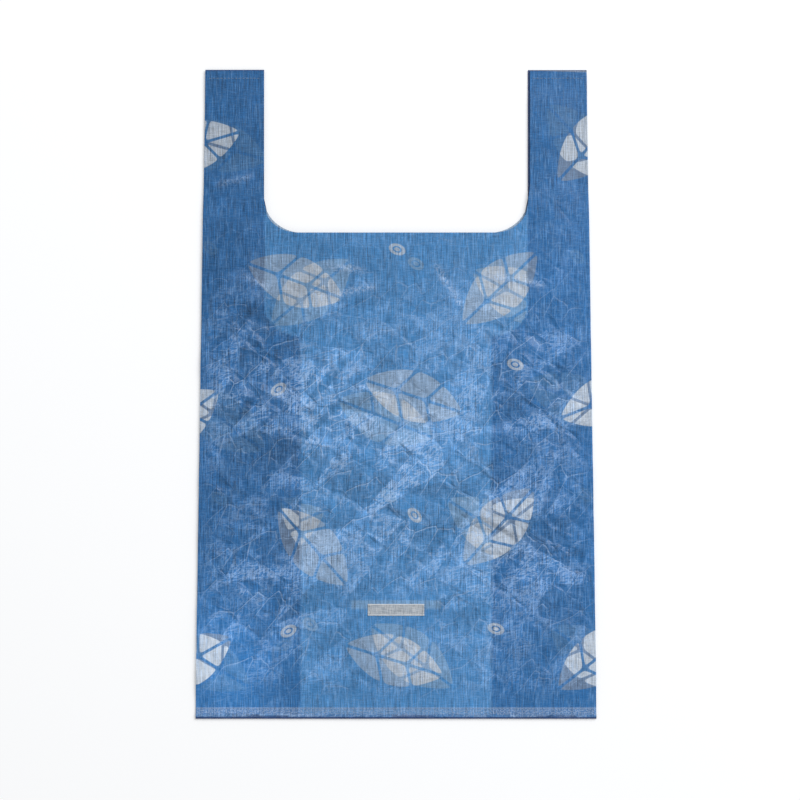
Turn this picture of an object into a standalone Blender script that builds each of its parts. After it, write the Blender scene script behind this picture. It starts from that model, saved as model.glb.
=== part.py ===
"""Reusable carrier bag of thin woven fabric, pressed flat and lying on its back panel.

Metres. +Z is up, the handles point along +Y, and the origin is on the surface that the bag
lies on, under its middle. The fabric is one tube: a front panel, two side gussets of two
leaves each, and a back panel. A seam closes it along the bottom and another one closes it
across the top of each handle. A small label is sewn to the front panel.
"""
import math
import random

import bmesh
import bpy
from mathutils import Vector
from mathutils.geometry import delaunay_2d_cdt

# The bag's outline
BAG_HEIGHT = 0.494  # bottom edge to handle tops
BAG_WIDTH = 0.305  # across the bottom
TOP_WIDTH = 0.290  # across both handles at their tops
HANDLE_WIDTH = 0.0445
MOUTH_DEPTH = 0.124  # handle tops down to the mouth's cut edge
MOUTH_CORNER_WIDTH = 0.026
MOUTH_CORNER_HEIGHT = 0.022

# The gussets
GUSSET_DEPTH = 0.080  # side edge in to the inner fold
GUSSET_CUT_DROP = 0.079  # mouth's cut edge down to the top of the inner fold
GUSSET_CORNER_HEIGHT = 0.024

# Fabric, layers and seams
FABRIC = 0.00025
LAYER_GAP = 0.00055  # clear space between layers
SEAM_GAP = 0.00020  # the same, where the seams press the layers
PRESSED_RUN = 0.025  # how far from a seam the layers stay pressed
BOTTOM_SEAM = 0.008
TOP_SEAM = 0.0065
SEAM_PROUD = 0.0003  # thread and fold standing out past the fabric's edges
SEAM_INSET = 0.0004  # seam's filling short of its stitch line

# Crumples
CRUMPLE_HEIGHT = 0.0027
CRUMPLE_SPACING = 0.0135  # between loose points of the crumpled surface
CREASE_COUNT = 16
CREASE_LENGTH = 0.095
CREASE_STEP = 0.012
CROSSING_LEVEL = 0.9  # height where two creases cross, as a share of the crumple's
STEEPEST = 0.32  # most that a crumple rises over a length of fabric
EASING_ROUNDS = 3
CALM_DROP = 0.075  # the fabric is smoother from this far below the mouth upwards
CALM_SHARE = 0.35
SIDE_PRESSED = 0.014  # how far in from the side folds the crumples fade
SIDE_SHARE = 0.30
RANDOM_SEED = 11

# The label
LABEL_WIDTH = 0.043
LABEL_HEIGHT = 0.009
LABEL_THICKNESS = 0.0004
LABEL_CORNER = 0.0006
LABEL_RISE = 0.083  # bag's bottom edge up to the label's middle
LABEL_GAP = 0.0003
LABEL_BORDER = 0.003  # flat fabric around the label
PATCH_LEVEL = 0.5  # that flat fabric's place in the crumple's height

# The print: leaves of six pale lobes in staggered rows, with small seeds between them
LEAF_LENGTH = 0.080
LEAF_WIDTH = 0.038
LEAF_TILT = math.radians(32)
VEIN_STATIONS = (-1.0, -0.35, 0.25, 1.0)  # where veins leave the midrib, tips at -1 and 1
VEIN_SLANT = 0.22
LOBE_FILL = 0.86
PRINT_COLUMNS = 6  # leaves in one row, all the way round the bag
PRINT_ROW_PITCH = 0.096
PRINT_MARGIN = 0.0025  # print kept off the side folds
SEED_LENGTH = 0.014
SEED_WIDTH = 0.009

ARC_STEPS = 6
NEAR = 1e-6  # points closer than this are the same point
SLIVER = 1e-8  # triangles smaller than this lie between points in one line
BACK, BACK_LEAF, FRONT_LEAF, FRONT = range(4)  # the layers, from the surface up

BOTTOM = -BAG_HEIGHT / 2
TOP = BAG_HEIGHT / 2
MOUTH = TOP - MOUTH_DEPTH
HANDLE_INNER = TOP_WIDTH / 2 - HANDLE_WIDTH
INNER_FOLD = BAG_WIDTH / 2 - GUSSET_DEPTH
GUSSET_CUT = MOUTH - GUSSET_CUT_DROP
LABEL_Y = BOTTOM + LABEL_RISE


def smooth(share):
    """Ease from 0 to 1, level at both ends."""
    share = min(max(share, 0.0), 1.0)
    return share * share * (3 - 2 * share)


def side_edge(y):
    """Half the bag's width at height y: the sides lean in towards the handles."""
    share = (y - BOTTOM) / BAG_HEIGHT
    return (BAG_WIDTH + (TOP_WIDTH - BAG_WIDTH) * share) / 2


def corner_rise(x, start, width, height):
    """Height of a quarter ellipse that turns from level at start to upright at start + width."""
    share = min(max((x - start) / width, 0.0), 1.0)
    return height * (1 - math.sqrt(1 - share * share))


def corner_points(start, width, level, height):
    """Points along that quarter ellipse, from its level end to its upright end."""
    angles = [math.pi / 2 * step / ARC_STEPS for step in range(ARC_STEPS + 1)]
    return [(start + width * math.sin(a), level + height * (1 - math.cos(a))) for a in angles]


def in_panel(x, y):
    """Whether a point lies on the front panel, which has the back panel's outline."""
    if abs(x) > side_edge(y) or not BOTTOM < y < TOP:
        return False
    if abs(x) > HANDLE_INNER:
        return True
    start = HANDLE_INNER - MOUTH_CORNER_WIDTH
    return y < MOUTH + corner_rise(abs(x), start, MOUTH_CORNER_WIDTH, MOUTH_CORNER_HEIGHT)


def in_gusset(x, y):
    """Whether a point lies on a gusset leaf, whose top is cut deeper than the mouth."""
    if abs(x) < INNER_FOLD or not in_panel(x, y):
        return False
    if abs(x) > HANDLE_INNER:
        return True
    width = HANDLE_INNER - INNER_FOLD
    return y < GUSSET_CUT + corner_rise(abs(x), INNER_FOLD, width, GUSSET_CORNER_HEIGHT)


def divided(points, step=CRUMPLE_SPACING):
    """A line through points, with more points wherever a stretch is longer than step."""
    line = [points[0]]
    for start, end in zip(points, points[1:]):
        pieces = max(1, round(math.dist(start, end) / step))
        for piece in range(1, pieces + 1):
            share = piece / pieces
            line.append(tuple(a + (b - a) * share for a, b in zip(start, end)))
    return line


def mirrored(line):
    return [(-x, y) for x, y in line]


def plan_lines():
    """Edges, folds, seam lines and the label's border, as lines seen from above."""
    mouth_corner = corner_points(
        HANDLE_INNER - MOUTH_CORNER_WIDTH, MOUTH_CORNER_WIDTH, MOUTH, MOUTH_CORNER_HEIGHT
    )
    seam_line = BOTTOM + BOTTOM_SEAM
    handle_line = TOP - TOP_SEAM
    outline = [
        (0.0, BOTTOM),
        (INNER_FOLD, BOTTOM),
        (side_edge(BOTTOM), BOTTOM),
        (side_edge(seam_line), seam_line),
        (side_edge(handle_line), handle_line),
        (side_edge(TOP), TOP),
        (HANDLE_INNER, TOP),
        (HANDLE_INNER, handle_line),
        *reversed(mouth_corner),
        (0.0, MOUTH),
    ]
    halves = [
        divided(outline),
        divided([(0.0, seam_line), (INNER_FOLD, seam_line), (side_edge(seam_line), seam_line)]),
        divided([(HANDLE_INNER, handle_line), (side_edge(handle_line), handle_line)]),
    ]
    if INNER_FOLD < HANDLE_INNER:
        cut = corner_points(
            INNER_FOLD, HANDLE_INNER - INNER_FOLD, GUSSET_CUT, GUSSET_CORNER_HEIGHT
        )
        cut.append((HANDLE_INNER, MOUTH + MOUTH_CORNER_HEIGHT))
    else:
        cut = [(INNER_FOLD, TOP)]
    halves.append(divided([(INNER_FOLD, BOTTOM), (INNER_FOLD, seam_line), *cut]))
    lines = halves + [mirrored(half) for half in halves]
    half_width = LABEL_WIDTH / 2 + LABEL_BORDER
    half_height = LABEL_HEIGHT / 2 + LABEL_BORDER
    corners = [(-1, -1), (1, -1), (1, 1), (-1, 1), (-1, -1)]
    lines.append([(i * half_width, LABEL_Y + j * half_height) for i, j in corners])
    return lines


def near_label(x, y, space=0.0):
    return (
        abs(x) < LABEL_WIDTH / 2 + LABEL_BORDER + space
        and abs(y - LABEL_Y) < LABEL_HEIGHT / 2 + LABEL_BORDER + space
    )


def crease_lines(rng):
    """Long creases across the lower part of the bag, most of them on a slant."""
    creases = []
    low = BOTTOM + BOTTOM_SEAM + PRESSED_RUN / 2
    high = MOUTH - CALM_DROP
    while len(creases) < CREASE_COUNT:
        length = CREASE_LENGTH * rng.uniform(0.6, 1.4)
        angle = math.radians(rng.choice((-1, 1)) * rng.uniform(28, 75))
        reach = side_edge(low) - SIDE_PRESSED
        middle = (rng.uniform(-reach, reach), rng.uniform(low, high))
        count = max(3, round(length / CREASE_STEP))
        line = []
        for index in range(count + 1):
            along = length * (index / count - 0.5)
            bend = 0.05 * length * math.sin(math.pi * index / count)
            x = middle[0] + along * math.cos(angle) - bend * math.sin(angle)
            y = middle[1] + along * math.sin(angle) + bend * math.cos(angle)
            level = 0.35 + 0.65 * math.sin(math.pi * index / count)
            line.append((x, y, level))
        creases.append(line)
    return creases


def liveliness(x, y):
    """How far the fabric stands up at a point, from 0 at the seams to 1."""
    above_seam = smooth((y - BOTTOM - BOTTOM_SEAM) / PRESSED_RUN)
    below_top = smooth((TOP - TOP_SEAM - y) / PRESSED_RUN)
    calm = 1 - (1 - CALM_SHARE) * smooth((y - MOUTH + CALM_DROP) / (CALM_DROP / 2))
    side = SIDE_SHARE + (1 - SIDE_SHARE) * smooth((side_edge(y) - abs(x)) / SIDE_PRESSED)
    return above_seam * below_top * calm * side


def patch_crumple(x, y):
    """Crumple height at a corner of the flat patch under the label."""
    return CRUMPLE_HEIGHT * liveliness(x, y) * PATCH_LEVEL


def layer_pitch(y):
    """Distance from one layer's middle to the next."""
    loose = min(smooth((y - BOTTOM - BOTTOM_SEAM) / PRESSED_RUN),
                smooth((TOP - TOP_SEAM - y) / PRESSED_RUN))
    return FABRIC + SEAM_GAP + (LAYER_GAP - SEAM_GAP) * loose


def bag_plan():
    """Points and triangles of the bag seen from above, and each point's crumple height.

    All layers share these points and triangles, so they lie on one another without touching.
    """
    rng = random.Random(RANDOM_SEED)
    lines = plan_lines()
    points = []
    edges = []
    levels = []

    def add_line(line, line_levels):
        first = len(points)
        points.extend((x, y) for x, y in line)
        levels.extend(line_levels)
        edges.extend((first + i, first + i + 1) for i in range(len(line) - 1))

    for line in lines[:-1]:
        add_line(line, [rng.uniform(0.1, 0.6) for _ in line])
    add_line(lines[-1], [PATCH_LEVEL] * len(lines[-1]))
    fixed = [Vector(point) for point in points]

    def is_free(point, space):
        if not in_panel(*point) or near_label(*point, space=space):
            return False
        return all((Vector(point) - other).length > space for other in fixed)

    for crease in crease_lines(rng):
        run = []
        for x, y, level in crease + [(math.inf, math.inf, 0.0)]:
            if math.isfinite(x) and is_free((x, y), CRUMPLE_SPACING * 0.45):
                run.append((x, y, level))
                continue
            if len(run) > 1:
                add_line([(px, py) for px, py, _ in run], [pl for _, _, pl in run])
            run = []
        fixed = [Vector(point) for point in points]
    columns = math.ceil(BAG_WIDTH / CRUMPLE_SPACING)
    rows = math.ceil(BAG_HEIGHT / CRUMPLE_SPACING)
    for row in range(rows):
        for column in range(columns):
            x = -BAG_WIDTH / 2 + (column + rng.uniform(0.1, 0.9)) * CRUMPLE_SPACING
            y = BOTTOM + (row + rng.uniform(0.1, 0.9)) * CRUMPLE_SPACING
            level = rng.uniform(0.0, 0.7)
            if is_free((x, y), CRUMPLE_SPACING * 0.62):
                points.append((x, y))
                levels.append(level)
                fixed.append(Vector((x, y)))

    result = delaunay_2d_cdt([Vector(p) for p in points], edges, [], 0, NEAR, True)
    plan_points = [tuple(p) for p in result[0]]
    heights = []
    for (x, y), sources in zip(plan_points, result[3]):
        given = [levels[source] for source in sources] or [CROSSING_LEVEL]
        heights.append(CRUMPLE_HEIGHT * liveliness(x, y) * sum(given) / len(given))
    triangles = []
    for corners in result[2]:
        area = abs(signed_area([plan_points[c] for c in corners]))
        if area > SLIVER and in_panel(*middle_of(plan_points, corners)):
            triangles.append(tuple(corners))
    return plan_points, triangles, eased(plan_points, triangles, heights)


def eased(points, triangles, heights):
    """Crumple heights lowered where the fabric would stand steeper than it can."""
    heights = list(heights)
    for _ in range(EASING_ROUNDS):
        for corners in triangles:
            for a, b in zip(corners, corners[1:] + corners[:1]):
                rise = STEEPEST * math.dist(points[a], points[b])
                heights[a] = min(heights[a], heights[b] + rise)
                heights[b] = min(heights[b], heights[a] + rise)
    return heights


def middle_of(points, corners):
    return (
        sum(points[c][0] for c in corners) / len(corners),
        sum(points[c][1] for c in corners) / len(corners),
    )


def layer_height(layer, y, crumple):
    """Height of a layer's middle: the back lies flat, the front takes the whole crumple."""
    return FABRIC / 2 + layer * layer_pitch(y) + crumple * layer / FRONT


def leaf_lobes():
    """The pale lobes of one leaf, lying along x, between its midrib, veins and outline."""
    lobes = []
    for side in (-1, 1):
        for start, end in zip(VEIN_STATIONS, VEIN_STATIONS[1:]):
            outer = [u + VEIN_SLANT if abs(u) < 1 else u for u in (start, end)]
            shares = (0.0, 0.5, 1.0)
            rim = [outer[0] + (outer[1] - outer[0]) * share for share in shares]
            lobe = [(start, 0.0), (end, 0.0)]
            lobe += [(u, side * (1 - u * u)) for u in reversed(rim) if abs(u) < 1]
            middle = middle_of(lobe, range(len(lobe)))
            lobes.append(
                [
                    (
                        (m + (p - m) * LOBE_FILL) * size / 2
                        for m, p, size in zip(middle, point, (LEAF_LENGTH, LEAF_WIDTH))
                    )
                    for point in lobe
                ]
            )
    return [[tuple(point) for point in lobe] for lobe in lobes]


def seed_oval():
    angles = [math.tau * step / ARC_STEPS for step in range(ARC_STEPS)]
    return [(SEED_LENGTH / 2 * math.cos(a), SEED_WIDTH / 2 * math.sin(a)) for a in angles]


def print_shapes(around, facing):
    """Print outlines on one panel; around is its middle, measured round the bag's tube.

    facing is 1 on the front panel and -1 on the back one, which runs the other way.
    """
    tube = 2 * BAG_WIDTH + 4 * GUSSET_DEPTH
    column_pitch = tube / PRINT_COLUMNS
    rows = math.ceil(BAG_HEIGHT / PRINT_ROW_PITCH)
    shapes = []
    for row in range(rows):
        for column in range(PRINT_COLUMNS):
            rng = random.Random(RANDOM_SEED + row * PRINT_COLUMNS + column)
            along = (column + 0.5 * (row % 2) + rng.uniform(-0.1, 0.1)) * column_pitch
            y = BOTTOM + (row + 0.45 + rng.uniform(-0.12, 0.12)) * PRINT_ROW_PITCH
            tilt = LEAF_TILT * (1 if (row + column) % 2 else -1) + rng.uniform(-0.3, 0.3)
            away = (along - around + tube / 2) % tube - tube / 2
            shapes += [placed(lobe, facing * away, y, facing * tilt) for lobe in leaf_lobes()]
            seed_away = facing * (away + column_pitch / 2)
            shapes.append(placed(seed_oval(), seed_away, y + PRINT_ROW_PITCH / 4, tilt))
    return [shape for shape in (kept_inside(shape) for shape in shapes) if shape]


def placed(shape, x, y, angle):
    cos, sin = math.cos(angle), math.sin(angle)
    return [(x + u * cos - v * sin, y + u * sin + v * cos) for u, v in shape]


def signed_area(shape):
    turns = zip(shape, shape[1:] + shape[:1])
    return sum(x1 * y2 - x2 * y1 for (x1, y1), (x2, y2) in turns) / 2


def kept_inside(shape):
    """A print outline, anticlockwise and cut off at the side folds, or None if it is outside."""
    x, y = middle_of(shape, range(len(shape)))
    if abs(x) > side_edge(y) - PRINT_MARGIN or not in_panel(x, y):
        return None
    low, high = BOTTOM + BOTTOM_SEAM, TOP - TOP_SEAM
    if min(y for _, y in shape) < low or max(y for _, y in shape) > high:
        return None
    inside = []
    for x, y in shape:
        limit = side_edge(y) - PRINT_MARGIN
        inside.append((min(max(x, -limit), limit), y))
    return inside if signed_area(inside) > 0 else inside[::-1]


def plane_height(corners, x, y):
    """Height at (x, y) of the plane through three points."""
    a, b, c = (Vector(corner) for corner in corners)
    normal = (b - a).cross(c - a)
    return a.z - (normal.x * (x - a.x) + normal.y * (y - a.y)) / normal.z


def add_printed_layer(mesh, layer, plan, shapes):
    """A panel whose print shapes are faces of the second material."""
    points, triangles, heights = plan
    count = len(triangles)
    corners = [Vector(p) for p in points]
    faces = list(triangles)
    for shape in shapes:
        first = len(corners)
        corners += [Vector(point) for point in shape]
        faces.append(tuple(range(first, first + len(shape))))
    result = delaunay_2d_cdt(corners, [], faces, 1, NEAR * 10, True)
    verts = {}

    def vert(index, triangle):
        x, y = result[0][index]
        if index not in verts:
            three = [(*points[c], layer_height(layer, points[c][1], heights[c])) for c in triangle]
            verts[index] = mesh.verts.new((x, y, plane_height(three, x, y)))
        return verts[index]

    for face, sources in zip(result[2], result[5]):
        carriers = [source for source in sources if source < count]
        if not carriers:
            continue
        triangle = triangles[carriers[0]]
        made = mesh.faces.new([vert(index, triangle) for index in face])
        made.material_index = int(len(sources) > len(carriers))
    return {key_of(v.co): v for v in verts.values()}


def add_plain_layer(mesh, layer, plan):
    """A gusset's leaf, on both sides of the bag."""
    points, triangles, heights = plan
    verts = {}
    for triangle in triangles:
        if not in_gusset(*middle_of(points, triangle)):
            continue
        for c in triangle:
            if c not in verts:
                z = layer_height(layer, points[c][1], heights[c])
                verts[c] = mesh.verts.new((*points[c], z))
        mesh.faces.new([verts[c] for c in triangle])
    return {key_of(v.co): v for v in verts.values()}


def key_of(place):
    return round(place[0] / NEAR / 2), round(place[1] / NEAR / 2)


def add_folds(mesh, lower, upper, is_fold):
    """Strips that join two layers along a fold."""
    pairs = []
    for edge in mesh.edges:
        ends = [v for v in edge.verts if upper.get(key_of(v.co)) is v and is_fold(*v.co.xy)]
        if len(ends) == 2 and len(edge.link_faces) == 1:
            pairs.append(ends)
    for a, b in pairs:
        below = [lower.get(key_of(v.co)) for v in (b, a)]
        if all(below):
            mesh.faces.new([a, b, *below])


def on_side(x, y):
    return abs(abs(x) - side_edge(y)) < NEAR * 2


def on_inner_fold(x, y):
    return abs(abs(x) - INNER_FOLD) < NEAR * 2


def make_body(name, collection, materials):
    """The whole folded tube of fabric as one open surface, thickened to the fabric's wall."""
    plan = bag_plan()
    half_tube = BAG_WIDTH + 2 * GUSSET_DEPTH
    mesh = bmesh.new()
    layers = {
        BACK: add_printed_layer(mesh, BACK, plan, print_shapes(half_tube, -1)),
        BACK_LEAF: add_plain_layer(mesh, BACK_LEAF, plan),
        FRONT_LEAF: add_plain_layer(mesh, FRONT_LEAF, plan),
        FRONT: add_printed_layer(mesh, FRONT, plan, print_shapes(0.0, 1)),
    }
    add_folds(mesh, layers[BACK], layers[BACK_LEAF], on_side)
    add_folds(mesh, layers[FRONT_LEAF], layers[FRONT], on_side)
    add_folds(mesh, layers[BACK_LEAF], layers[FRONT_LEAF], on_inner_fold)
    bmesh.ops.recalc_face_normals(mesh, faces=mesh.faces)
    data = bpy.data.meshes.new(name)
    mesh.to_mesh(data)
    mesh.free()
    body = bpy.data.objects.new(name, data)
    for material in materials:
        data.materials.append(material)
    collection.objects.link(body)
    wall = body.modifiers.new("fabric wall", "SOLIDIFY")
    wall.thickness = FABRIC
    wall.offset = 0.0
    wall.use_even_offset = True
    return body


def add_box(mesh, low, high):
    centre = [(a + b) / 2 for a, b in zip(low, high)]
    made = bmesh.ops.create_cube(mesh, size=1.0)["verts"]
    size = [b - a for a, b in zip(low, high)]
    bmesh.ops.scale(mesh, vec=size, verts=made)
    bmesh.ops.translate(mesh, vec=centre, verts=made)
    return made


def make_seams(name, collection):
    """The closed seams' filling: it joins all layers at the bottom and the handle tops."""
    mesh = bmesh.new()
    top = layer_height(FRONT, BOTTOM, 0.0)
    reach = side_edge(BOTTOM) + SEAM_PROUD
    add_box(
        mesh,
        (-reach, BOTTOM - SEAM_PROUD, FABRIC / 2),
        (reach, BOTTOM + BOTTOM_SEAM - SEAM_INSET, top),
    )
    for side in (-1, 1):
        ends = sorted((side * (HANDLE_INNER - SEAM_PROUD),
                       side * (side_edge(TOP - TOP_SEAM) + SEAM_PROUD)))
        add_box(
            mesh,
            (ends[0], TOP - TOP_SEAM + SEAM_INSET, FABRIC / 2),
            (ends[1], TOP + SEAM_PROUD, top),
        )
    data = bpy.data.meshes.new(name)
    mesh.to_mesh(data)
    mesh.free()
    seams = bpy.data.objects.new(name, data)
    seams.hide_render = True
    seams.display_type = "WIRE"
    collection.objects.link(seams)
    return seams


def make_label(name, collection, material):
    """Woven label, lying on the flat patch that its stitches hold in the front panel."""
    x, y = LABEL_WIDTH / 2 + LABEL_BORDER, LABEL_HEIGHT / 2 + LABEL_BORDER
    under = max(
        layer_height(FRONT, LABEL_Y + j * y, patch_crumple(x, LABEL_Y + j * y)) for j in (-1, 1)
    )
    low = under + FABRIC / 2 + LABEL_GAP
    mesh = bmesh.new()
    add_box(
        mesh,
        (-LABEL_WIDTH / 2, LABEL_Y - LABEL_HEIGHT / 2, low),
        (LABEL_WIDTH / 2, LABEL_Y + LABEL_HEIGHT / 2, low + LABEL_THICKNESS),
    )
    upright = [e for e in mesh.edges if abs(e.verts[0].co.z - e.verts[1].co.z) > NEAR]
    bmesh.ops.bevel(
        mesh, geom=upright, offset=LABEL_CORNER, segments=3, profile=0.5, affect="EDGES"
    )
    data = bpy.data.meshes.new(name)
    mesh.to_mesh(data)
    mesh.free()
    label = bpy.data.objects.new(name, data)
    data.materials.append(material)
    collection.objects.link(label)
    return label


def make_material(name, colour, roughness):
    material = bpy.data.materials.new(name)
    material.use_nodes = True
    shader = material.node_tree.nodes["Principled BSDF"]
    shader.inputs["Base Color"].default_value = (*colour, 1.0)
    shader.inputs["Roughness"].default_value = roughness
    shader.inputs["Metallic"].default_value = 0.0
    material.diffuse_color = (*colour, 1.0)
    return material


def new_collection(name):
    collection = bpy.data.collections.new(name)
    bpy.context.scene.collection.children.link(collection)
    return collection


for old in list(bpy.data.objects):
    bpy.data.objects.remove(old)
bag = new_collection("carrier_bag")
cutters = new_collection("cutters")
blue_fabric = make_material("blue_fabric", (0.075, 0.215, 0.445), 0.42)
pale_print = make_material("pale_print", (0.42, 0.50, 0.58), 0.45)
label_weave = make_material("label_weave", (0.62, 0.60, 0.54), 0.80)
bag_body = make_body("bag_body", bag, (blue_fabric, pale_print))
joining = bag_body.modifiers.new("closed seams", "BOOLEAN")
joining.operation = "UNION"
joining.solver = "EXACT"
joining.object = make_seams("seams", cutters)
make_label("label", bag, label_weave)
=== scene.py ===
"""Looks of a reusable carrier bag of thin woven plastic fabric, crumpled and lying flat."""
import math
import random

import bpy
import numpy as np
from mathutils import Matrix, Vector
from mathutils.geometry import delaunay_2d_cdt


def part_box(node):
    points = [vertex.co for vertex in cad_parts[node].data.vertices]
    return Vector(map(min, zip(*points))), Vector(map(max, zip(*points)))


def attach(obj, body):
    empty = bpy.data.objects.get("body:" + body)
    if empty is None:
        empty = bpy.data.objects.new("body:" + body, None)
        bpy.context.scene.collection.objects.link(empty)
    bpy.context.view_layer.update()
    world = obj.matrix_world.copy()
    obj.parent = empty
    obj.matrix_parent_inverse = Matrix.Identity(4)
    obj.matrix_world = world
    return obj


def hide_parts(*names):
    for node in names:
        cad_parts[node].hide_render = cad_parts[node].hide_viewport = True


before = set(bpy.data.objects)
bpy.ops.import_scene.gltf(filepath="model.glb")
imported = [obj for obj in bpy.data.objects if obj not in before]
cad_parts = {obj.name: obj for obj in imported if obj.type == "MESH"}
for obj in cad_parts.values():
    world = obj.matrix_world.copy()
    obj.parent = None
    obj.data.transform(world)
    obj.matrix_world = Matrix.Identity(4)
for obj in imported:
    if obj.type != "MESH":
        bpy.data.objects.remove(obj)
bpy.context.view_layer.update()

# The front panel
# A single layer of very thin woven plastic fabric, white and printed blue all over but for
# pale leaves and seeds. It is one side of the bag's tube, cut out between the handles, and
# it has been folded small and opened again many times.

body_low, body_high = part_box("bag_body")
SEAM_PROUD = 0.0003
BAG_WIDTH = body_high.x - body_low.x - 2 * SEAM_PROUD
BAG_HEIGHT = body_high.y - body_low.y - 2 * SEAM_PROUD
TOP_WIDTH = 0.290
HANDLE_WIDTH = 0.0445
MOUTH_DEPTH = 0.124
MOUTH_CORNER_WIDTH = 0.026
MOUTH_CORNER_HEIGHT = 0.022
GUSSET_DEPTH = 0.080
GUSSET_CUT_DROP = 0.079
GUSSET_CORNER_HEIGHT = 0.024
BOTTOM_SEAM = 0.008
TOP_SEAM = 0.0065

BOTTOM = body_low.y + SEAM_PROUD
TOP = body_high.y - SEAM_PROUD
MOUTH = TOP - MOUTH_DEPTH
HANDLE_INNER = TOP_WIDTH / 2 - HANDLE_WIDTH
INNER_FOLD = BAG_WIDTH / 2 - GUSSET_DEPTH
GUSSET_CUT = MOUTH - GUSSET_CUT_DROP
BACK, BACK_LEAF, FRONT_LEAF, FRONT = range(4)  # the layers, from the floor up

LOOSE_PITCH = 0.00080  # from one layer to the next
SEAM_PITCH = 0.00045  # the same, where the seams press the layers
HANDLE_PITCH = 0.00018  # the same, in the handles
HANDLE_LIFT = 0.0012  # how far the handles stand off the floor
HANDLE_RUN = 0.025  # over this length the layers close up towards the handles
PRESSED_RUN = 0.025  # how far from a seam the layers stay pressed
LIFT = 0.00012  # back panel's fabric above the floor
SWELL = 0.0011  # how much the loose middle stands above the side folds
SWELL_RUN = 0.030
FRONT_CELL = 0.00122  # spacing of the front panel's mesh
LOWER_CELL = 0.0023  # the same for the layers under it
FOLD_STEPS = 5
EASE_RUN = 0.040  # rows bend to the mouth's curve over this length
NEAR = 1e-6  # places closer than this are the same place


def smooth(share):
    """Ease from 0 to 1, level at both ends."""
    share = np.clip(share, 0.0, 1.0)
    return share * share * (3 - 2 * share)


def side_edge(y):
    """Half the bag's width at y: the sides lean in towards the handles."""
    return (BAG_WIDTH + (TOP_WIDTH - BAG_WIDTH) * (y - BOTTOM) / BAG_HEIGHT) / 2


def corner_rise(x, start, width, height):
    """Height of a quarter ellipse, level at start and upright at start + width."""
    share = np.clip((np.abs(x) - start) / width, 0.0, 1.0)
    return height * (1 - np.sqrt(1 - share * share))


def stretched(marks, cell):
    """Positions through the marks, a cell apart or a little less."""
    runs = [
        np.linspace(low, high, max(1, math.ceil(abs(high - low) / cell)), endpoint=False)
        for low, high in zip(marks, marks[1:])
    ]
    return np.concatenate([*runs, marks[-1:]])


def grid_faces(shape):
    """Four-sided faces between the points of a grid, row by row."""
    index = np.arange(shape[0] * shape[1]).reshape(shape)
    corners = [index[:-1, :-1], index[:-1, 1:], index[1:, 1:], index[1:, :-1]]
    return np.stack(corners, -1).reshape(-1, 4)


class Cut:
    """A grid of points over one cut of fabric, with rounded corners beside the handles.

    across holds each column's place before the sides lean in, and turn is how far round a
    fold it is, from 0 to 1. Columns inside the handles end at the curve of the cut.
    """

    def __init__(self, across, turn, cell, level, start, width, height):
        crest = level + height
        rows = stretched([BOTTOM, BOTTOM + BOTTOM_SEAM, crest, TOP - TOP_SEAM, TOP], cell)
        across, y = np.meshgrid(across, rows)
        self.turn = np.broadcast_to(turn, y.shape)
        share = (np.abs(across) - HANDLE_INNER) / (BAG_WIDTH / 2 - HANDLE_INNER)
        leaning = HANDLE_INNER + share * (side_edge(y) - HANDLE_INNER)
        self.x = np.sign(across) * np.where(share > 0, leaning, np.abs(across))
        low = level - EASE_RUN
        top = level + corner_rise(across, start, width, height)
        eased = low + (y - low) * (top - low) / (crest - low)
        between = (share < -NEAR) & (y > low)
        self.y = np.where(between, eased, y)
        side = np.sign(across[0])
        in_handle = (share[0] > -NEAR) & (side != 0)
        both = in_handle[:-1] & in_handle[1:] & (side[:-1] == side[1:])
        kept = (y[1:, :1] < crest + NEAR) | both[None, :]
        self.faces = grid_faces(y.shape)[kept.ravel()]


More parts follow.
